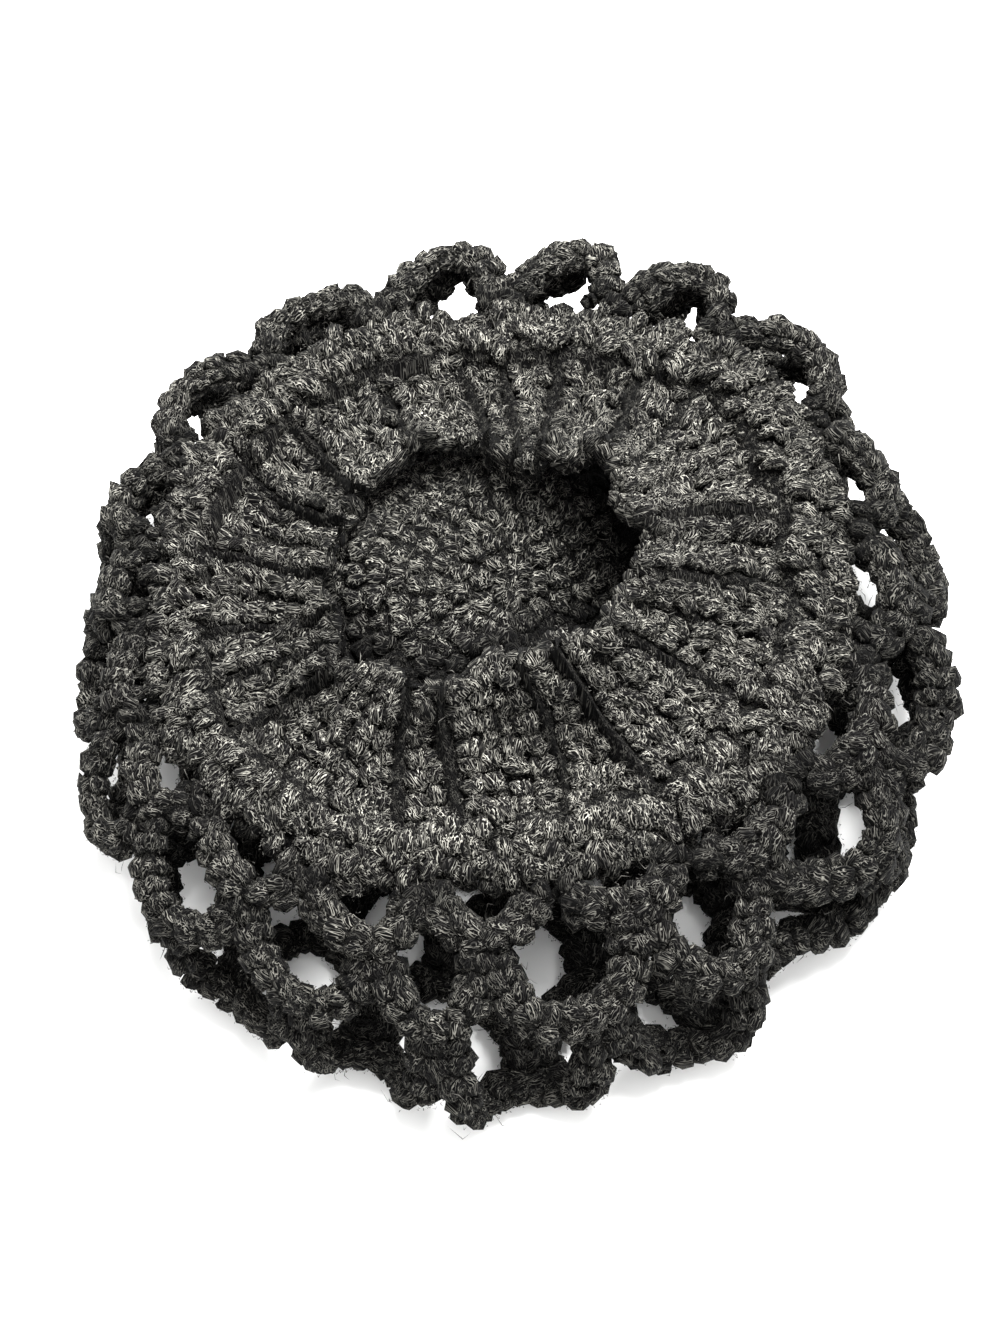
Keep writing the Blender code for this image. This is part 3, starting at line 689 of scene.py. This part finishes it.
arches = {
    "pitch": 0.0068, "fewest": 5,  # metres along a rope, and the least stitches of one
    "width": 0.0104, "thickness": 0.0092, "yarn": (0.0057, 0.005),  # metres, of a rope and of its yarn
    "loose": 0.24, "slips": (0.6, 0.5, 0.5),  # how far the legs slip, and weights for along, across and up
    "fatness": 0.1, "paleness": 0.09,  # how much the stitches differ
    "edgeHeight": 0.2, "fibres": 7000,  # half thicknesses, and the loose fibres of a round
    "turns": (-0.06, 1.06), "steps": 70,  # half turns from foot to foot
    "lobes": 0.003, "clear": 0.0005,  # metres that the lowest part stands out, and clear of the body's ends
    "footShade": 0.018, "footTones": (0.15, 0.4, 0.5, 0.5, 0.5),  # painted shade where each round's ropes begin: metres over which it fades, and the tone left there in each round
    "tones": (0.88, 0.74, 0.56, 0.4, 0.3),  # each round lies deeper in the shade than the one before it
    # azimuth, the tone that painted shade leaves to the body there beside and below the band, and how fat its ropes
    # are
    "shades": np.array([
        (0, 0.56, 1.16), (50, 0.72, 1.05), (90, 0.92, 1.0), (140, 0.88, 1.0), (180, 0.76, 1.0), (225, 0.72, 1.04),
        (270, 0.66, 1.18), (305, 0.52, 1.28), (335, 0.5, 1.3)]),
    # the legs of one stitch: where each starts, passes and ends, along in stitches, and across and up in half
    # widths and half thicknesses, and how fat it is
    "stitch": [
        ((-0.42, -0.48, 0.2), (0.02, -0.32, 0.66), (0.44, -0.02, 0.2), 1.0),
        ((-0.4, 0.48, 0.2), (-0.04, 0.34, 0.6), (0.44, 0.12, 0.2), 1.0),
        ((-0.42, -0.48, -0.2), (0.02, -0.32, -0.64), (0.44, -0.02, -0.2), 1.0),
        ((-0.4, 0.48, -0.2), (-0.04, 0.34, -0.6), (0.44, 0.12, -0.2), 1.0),
        ((-0.36, 0.4, 0.18), (0.04, 0.74, 0.0), (0.4, 0.4, -0.18), 1.0),
        ((-0.42, -0.4, 0.18), (0.0, -0.74, 0.0), (0.36, -0.4, -0.18), 1.0)],
    "heart": [((-0.8, 0.0, 0.0), (0.0, 0.0, 0.01), (0.8, 0.0, 0.0), 1.0)],  # the inside of a rope, painted dark as shade
    "heartSize": (0.0088, 0.0066), "heartShade": 0.26, "heartLoose": 0.02,
}


def archLine(number, arch):  # the middle of one arch's rope, from foot to foot
    left, right = junction(number - 1, arch), junction(number - 1, arch + 1)
    lowest = junction(number, arch + (number - 1) % 2)
    turn = np.linspace(*arches["turns"], arches["steps"]) * pi
    x = -np.cos(np.clip(turn, 0, pi))
    centre = np.array([lowest])
    halfWay = levelDistance(number - 0.5, centre)
    span = np.linalg.norm(smoothBody(np.array([right]), halfWay) - smoothBody(np.array([left]), halfWay))
    foot = min(hat["strandWidth"] / span, hat["mostOfArch"])
    x = x * (1 - foot / 2)
    azimuth = lowest + np.where(x < 0, lowest - left, right - lowest) * x
    start = levelDistance(number - 1, azimuth)
    deep = levelDistance(number, azimuth) - start
    thick = np.minimum(hat["strandWidth"], hat["mostOfRound"] * deep)
    distance = start + (deep - thick / 2) * np.sin(turn)
    distance = np.clip(distance, arches["clear"], bodyLength(azimuth) - arches["clear"])
    points, normals = bodySurface(azimuth, distance)
    if number < hat["rounds"]:
        points = points + normals * (arches["lobes"] * np.clip(np.sin(turn), 0, 1) ** 2)[:, None]
    return {**rope(points, normals), "footTone": arches["footTones"][number - 1]}


for number in range(1, hat["rounds"] + 1):
    legs, hearts = [], []
    for arch in range(len(hat["arches"])):
        line = archLine(number, arch)
        total = line["length"][-1]
        count = max(arches["fewest"], int(round(total / arches["pitch"])))
        pitch = total / count
        at = (np.arange(count) + 0.5) * pitch
        place = np.array([junction(number, arch)])
        shade, fat = (column(arches["shades"], which, place)[0] for which in (1, 2))
        legs += stitchesOn(line, at, arches["stitch"], pitch, arches["width"] * fat, arches["thickness"] * fat,
                           np.array(arches["yarn"]) * fat, arches["loose"], arches["tones"][number - 1] * shade)
        hearts += stitchesOn(line, at[1:-1], arches["heart"], pitch, arches["width"], arches["thickness"],
                             np.array(arches["heartSize"]) * fat, arches["heartLoose"], arches["heartShade"] * shade)
    joined(f"archRound{number}", [stitchPart(legs), stitchPart(hearts), fibrePart(legs, arches["fibres"])],
           f"mesh_round_{number}")


fabric = {
    "slopeStep": 0.12, "roomStep": 0.3,  # stitches to the points that give a slope, and a stitch's room
    "slips": (0.6, 0.6, 0.0008),  # weights of a slip along and up the rows, and out of them in metres
    "lift": 0.0006, "fatness": 0.08, "paleness": 0.1,  # metres, and how much the stitches differ
}


def fabricStitches(point, columns, rows, steps, pattern, yarn, loose, side, turned=0.0, shadeAt=None, tone=1.0):
    # stitches on a surface: point(column, row) gives its middle, steps is the width of each stitch in columns, side
    # is 1 on the outer face and -1 on the inner; turned is how far the stitches twist out of line in degrees
    made = []
    small, wide, slips = fabric["slopeStep"], fabric["roomStep"], fabric["slips"]
    aside = wide * steps
    room = np.linalg.norm(point(columns + aside, rows) - point(columns - aside, rows), axis=1) / (2 * wide)
    tall = np.linalg.norm(point(columns, rows + wide) - point(columns, rows - wide), axis=1) / (2 * wide)
    turn = np.radians(chance.normal(0, 1, len(columns)) * turned)
    lift = chance.normal(0, fabric["lift"], len(columns)) * (turned > 0)
    for start, middle, end, fat in pattern:
        slip = chance.normal(0, loose, (3, 3, len(columns)))
        places = []
        for (a, b, c), s in zip((start, middle, end), slip):
            across, along = (a + s[0] * slips[0]) * room, (b + s[1] * slips[1]) * tall
            u = columns + (across * np.cos(turn) - along * np.sin(turn)) / room * steps
            v = rows + (across * np.sin(turn) + along * np.cos(turn)) / tall
            here = point(u, v)
            normal = unit(np.cross(point(u + small * steps, v) - point(u - small * steps, v),
                                   point(u, v + small) - point(u, v - small)))
            shade = shadeAt(u, v) if shadeAt else np.ones(len(u))
            out = (side * (c + lift + s[2] * slips[2]))[:, None]
            places.append((here + normal * out, normal * side, shade))
        made.append(leg([place[0] for place in places], places[1][1], fat, yarn, fabric, tone,
                        np.stack([place[2] for place in places], axis=1), np.minimum(room, strand["widestStitch"])))
    return made


bandStitch = {
    "width": 0.0084, "rows": 8, "outerRows": (-0.65, -0.1),  # metres, and the rows over the joining round
    "yarn": (0.66, 0.0052),  # its width as a share of a stitch's, its thickness in metres
    "loose": 0.14, "fibres": 24000,  # how far the points of a stitch slip, and the band's loose fibres
    "crease": 0.1, "overRim": 1.03,  # stitches kept clear at a deep crease, and how far the rim's yarn goes
    "turned": (34, 32),  # degrees, in the outermost rows and in the others
    "aside": (0.14, 0.06), "ahead": (0.22, 0.1),  # stitches and rows that they lie out of place, in the same way
    "shifted": 0.8,  # rows that the stitches of a fold start out of step
    "creaseShade": 0.88, "creaseWidth": 0.0026, "narrowing": 0.5,  # share of the tone, metres, and how folds narrow
    "rimShade": 0.74, "rimFrom": 0.5, "rimOver": 0.6,  # the tone left by painted shade where rows bend down over the joining round
    "heartThickness": 0.0046, "heartShade": 0.14,  # the inside, painted dark as shade; its thickness in metres
    "heartGrid": (432, 13), "heartFrom": -0.06, "heartOver": 1.04,  # its squares, and its share of the way in
    # along the row in stitches, towards the opening in rows, out of the fabric in metres, and how fat
    "stitch": [
        ((-0.24, 0.42, -0.0006), (-0.17, 0.05, 0.003), (-0.12, -0.38, 0.0), 1.0),
        ((0.24, 0.4, -0.0006), (0.17, 0.0, 0.003), (0.1, -0.42, 0.0), 1.0),
        ((-0.28, -0.22, 0.0004), (0.0, -0.34, 0.0028), (0.28, -0.2, 0.0004), 0.6)],
    "edge": [
        ((-0.34, -0.45, 0.0026), (-0.27, 0.3, 0.0), (-0.22, -0.45, -0.0026), 1.1),
        ((0.2, -0.45, 0.0026), (0.25, 0.3, 0.0), (0.3, -0.45, -0.0026), 1.1)],
}


def bandAt(fold, row):
    share = np.minimum(row / bandStitch["rows"], bandStitch["overRim"])
    return bandPoint(foldAzimuth(fold, share), share)


def foldRoom(fold, share):  # how wide a fold is at a share of the way in, in metres
    ends = [joiningLine(foldAzimuth(np.array([float(place)]), np.array([share]))) for place in (fold, fold + 1)]
    shrink = band["openingWidth"] / joining["width"]
    return float(np.linalg.norm(ends[1] - ends[0])) * (1 + (shrink - 1) * max(share, 0))


def foldPlaces(row):  # the stitches of one row: each fold holds as many as fit, clear of its creases
    places, steps = [], []
    depths = band["creases"][:, 3]
    for fold in range(len(depths)):
        count = max(1, round(foldRoom(fold, row / bandStitch["rows"]) / bandStitch["width"]))
        left, right = (bandStitch["crease"] / count * depths[crease] for crease in (fold, (fold + 1) % len(depths)))
        places.append(fold + left + (np.arange(count) + 0.5) / count * (1 - left - right))
        steps.append(np.full(count, 1 / count))
    return np.concatenate(places), np.concatenate(steps)


foldRooms = np.array([foldRoom(fold, 0.0) for fold in range(len(band["creases"]))])


def creaseShade(fold, row):  # painted shade: the wool is darker down in the creases between the folds, most in the deep ones
    which, across = np.floor(fold).astype(int) % len(band["creases"]), np.mod(fold, 1.0)
    rooms = foldRooms[which] * (1 - bandStitch["narrowing"] * np.clip(row / bandStitch["rows"], 0, 1))
    away = np.minimum(across, 1 - across) * rooms / bandStitch["creaseWidth"]
    shade = 1 - bandStitch["creaseShade"] * np.minimum(creaseDepth(which, across), 1) * np.exp(-away * away)
    outermost = np.clip((bandStitch["rimFrom"] - row) / bandStitch["rimOver"], 0, 1)
    shade = shade * (1 - (1 - bandStitch["rimShade"]) * outermost)
    return shade * column(band["shades"], 1, foldAzimuth(fold, row / bandStitch["rows"]))


def bandRows(middles, pattern, side):  # rows of the band's stitches with these middles, on its outer or inner face
    made = []
    shifts = chance.uniform(-0.5, 0.5, len(band["creases"])) * bandStitch["shifted"]
    for row in middles:
        places, steps = foldPlaces(row)
        settled = int(row > 1)
        places = places + chance.normal(0, bandStitch["aside"][settled], len(places)) * steps
        most = np.sin(pi * max(row, 0) / bandStitch["rows"])
        rows = row + shifts[np.floor(places).astype(int) % len(shifts)] * most
        rows = rows + chance.normal(0, bandStitch["ahead"][int(row > 0)], len(places))
        made += fabricStitches(bandAt, places, rows, steps, pattern, bandStitch["yarn"], bandStitch["loose"],
                               side, bandStitch["turned"][settled] * (side > 0), creaseShade)
    return made


def heartOf(gridPoint, columns, rows, thickness, tone):  # the inside of a fabric, a closed sheet painted dark as shade
    sheet = bmesh.new()
    bmesh.ops.create_grid(sheet, x_segments=columns, y_segments=rows, size=1.0)
    places = np.array([v.co for v in sheet.verts])
    for vert, place in zip(sheet.verts, gridPoint((places[:, 0] + 1) / 2, (places[:, 1] + 1) / 2)):
        vert.co = place
    bmesh.ops.remove_doubles(sheet, verts=sheet.verts[:], dist=1e-5)
    bmesh.ops.recalc_face_normals(sheet, faces=sheet.faces[:])
    bmesh.ops.solidify(sheet, geom=sheet.faces[:], thickness=thickness)
    return copied(sheet, tone)


middles = np.arange(bandStitch["rows"]) + 0.5
outer = bandRows([*bandStitch["outerRows"], *middles], bandStitch["stitch"], 1)
inner = bandRows(middles, bandStitch["stitch"][:2], -1)
edgePlaces, edgeSteps = foldPlaces(bandStitch["rows"])
edge = fabricStitches(bandAt, edgePlaces, bandStitch["rows"] + 0 * edgePlaces, edgeSteps, bandStitch["edge"],
                      bandStitch["yarn"], bandStitch["loose"] / 2, 1, 0, creaseShade)
joined("ribbedBand", [
    stitchPart(outer + edge), stitchPart(inner, hiddenYarn),
    (heartOf(lambda u, v: bandPoint(u * 360, bandStitch["heartFrom"] + v * bandStitch["heartOver"]),
             *bandStitch["heartGrid"], bandStitch["heartThickness"], bandStitch["heartShade"]), yarnLook)],
    "band")
joined("bandFibres", [fibrePart(outer + edge, bandStitch["fibres"])], "band")


cordStitch = {
    "yarn": (0.0058, 0.0052), "heart": 0.0016, "heartShade": 0.12,  # metres; the inside, painted dark as shade, is drawn in a little
    "fibres": 4000, "fatness": 0.08, "paleness": 0.1,
    "loose": 0.14, "slips": (0.4, 60, 0.003),  # how far the points of a leg slip, in stitches, degrees and metres
    "aside": 0.3, "rolled": 30.0, "uneven": 0.0012,  # the same for how far each whole leg lies out of line
    # along in the band's stitches, round the cord in degrees from level outwards, out of the cord in metres; then
    # how fat each leg is, and its tone, darkened by painted shade under the band's edge
    "stitch": [
        ((-0.26, 128, -0.0014), (-0.22, 72, 0.0014), (-0.1, 16, -0.0012), 1.0, 0.8),
        ((0.26, 124, -0.0014), (0.2, 68, 0.0014), (0.08, 12, -0.0012), 1.0, 0.8),
        ((0.24, 22, -0.0016), (0.28, -28, 0.0006), (0.4, -82, -0.0016), 1.0, 0.35),
        ((0.76, 18, -0.0016), (0.7, -32, 0.0006), (0.6, -86, -0.0016), 1.0, 0.35),
        ((-0.25, 244, -0.0014), (-0.25, 190, 0.0002), (-0.25, 136, -0.0014), 0.9, 0.5),
        ((0.25, 244, -0.0014), (0.25, 190, 0.0002), (0.25, 136, -0.0014), 0.9, 0.5)],
}


def cordPoint(place, angle, out):  # the joining round's surface, and its outward direction
    around = foldAzimuth(place, 0 * place)
    centre = joiningLine(around)
    level = unit(joiningLine(around, joining["cord"]) - centre)
    turn = np.radians(angle)[:, None]
    outward = level * np.cos(turn) + upright * np.sin(turn)
    return centre + outward * (joining["cord"] / 2 + out)[:, None], outward


lumps = []
slips = cordStitch["slips"]
cordPlaces, cordSteps = foldPlaces(0)
for start, middle, end, fat, tone in cordStitch["stitch"]:
    slip = chance.normal(0, cordStitch["loose"], (3, 3, len(cordPlaces)))
    aside, rolled, uneven = chance.normal(0, 1, (3, len(cordPlaces)))
    ends = [cordPoint(cordPlaces + (a + slips[0] * s[0] + cordStitch["aside"] * aside) * cordSteps,
                      b + slips[1] * s[1] + cordStitch["rolled"] * rolled,
                      c + slips[2] * s[2] + cordStitch["uneven"] * uneven)
            for (a, b, c), s in zip((start, middle, end), slip)]
    lumps.append(leg([place for place, _ in ends], ends[1][1], fat, cordStitch["yarn"], cordStitch, tone))
joined("joiningCord", [
    stitchPart(lumps), (insideOf("joining_round", cordStitch["heart"], cordStitch["heartShade"]), yarnLook),
    fibrePart(lumps, cordStitch["fibres"])], "joining_round")


crownStitch = {
    "pitch": 0.0074, "roundDepth": 0.0066, "fewest": 5,  # metres, and the least stitches of a round
    "shifted": 0.37, "lastRow": 0.985,  # stitches that each round starts further on, and the rim's place
    # painted shade: the crown's wool is given a little less tone than the band's
    "yarn": (0.68, 0.0044), "loose": 0.14, "turned": 28, "tone": 0.93, "fibres": 8000,  # measured as the band's
    "heart": 0.001, "heartShade": 0.12,  # metres that the inside, painted dark as shade, is drawn in
    # azimuth, and the share of the opening where the shade of the band's edge starts; then over what share it
    # deepens, the tone that is left, and metres that the shade is set back
    "shadeStart": np.array([(0, 0.64), (30, 0.76), (90, 0.8), (135, 0.86), (180, 0.84), (225, 0.6), (255, 0.54),
                            (275, 0.4), (296, 0.27), (315, 0.3), (335, 0.38)]),
    "shadeWidth": 0.22, "shadeLeft": 0.06, "shadeBack": 0.012,
    "stitch": [
        ((-0.24, 0.46, -0.0004), (-0.19, 0.04, 0.0028), (-0.1, -0.4, 0.0), 1.0),
        ((0.24, 0.44, -0.0004), (0.18, 0.0, 0.0028), (0.1, -0.44, 0.0), 1.0),
        ((-0.3, -0.24, 0.0), (0.02, -0.36, 0.0028), (0.32, -0.22, 0.0), 0.66)],
    "under": [
        ((-0.46, 0.5, 0.0002), (-0.26, 0.02, 0.0016), (-0.04, -0.48, 0.0002), 0.95),
        ((0.46, 0.5, 0.0002), (0.26, 0.02, 0.0016), (0.04, -0.48, 0.0002), 0.95)],
}


def shadeUnderBand(points):  # painted shade: the tone of the crown, which falls off below the edge of the band
    away = (points - origin)[:, :2] - np.array([joining["right"], joining["back"] + crownStitch["shadeBack"]])
    right, back = away[:, 0] / band["openingWidth"], away[:, 1] / band["openingDepth"]
    turn = np.degrees(np.arctan2(back, right))
    reach = 2 * np.hypot(right, back) / column(joining["edges"], 2, turn)
    deep = np.clip((reach - column(crownStitch["shadeStart"], 1, turn)) / crownStitch["shadeWidth"], 0, 1)
    return 1 - (1 - crownStitch["shadeLeft"]) * eased(deep)


top, bottom = [], []
rounds = int(crown["diameter"] / 2 / crownStitch["roundDepth"])
for number in range(rounds):
    share = (number + 0.5) / rounds
    count = max(crownStitch["fewest"], int(round(2 * pi * share * crown["diameter"] / 2 / crownStitch["pitch"])))

    def crownGrid(place, row, count=count):  # rows run outwards, so the normal comes out upwards
        return crownPoint(-place / count * 360, np.clip(row / rounds, 0.0, crownStitch["lastRow"]))

    columns = np.arange(count) + number * crownStitch["shifted"]
    rows = np.full(count, number + 0.5)
    top += fabricStitches(crownGrid, columns, rows, np.ones(count), crownStitch["stitch"], crownStitch["yarn"],
                          crownStitch["loose"], 1, crownStitch["turned"],
                          lambda place, row, grid=crownGrid: shadeUnderBand(grid(place, row)), crownStitch["tone"])
    bottom += fabricStitches(crownGrid, columns, rows, np.ones(count), crownStitch["under"], crownStitch["yarn"],
                             crownStitch["loose"], -1)
joined("crownStitches", [
    stitchPart(top), stitchPart(bottom, hiddenYarn),
    (insideOf("crown", crownStitch["heart"], crownStitch["heartShade"]), yarnLook),
    fibrePart(top, crownStitch["fibres"])], "crown")
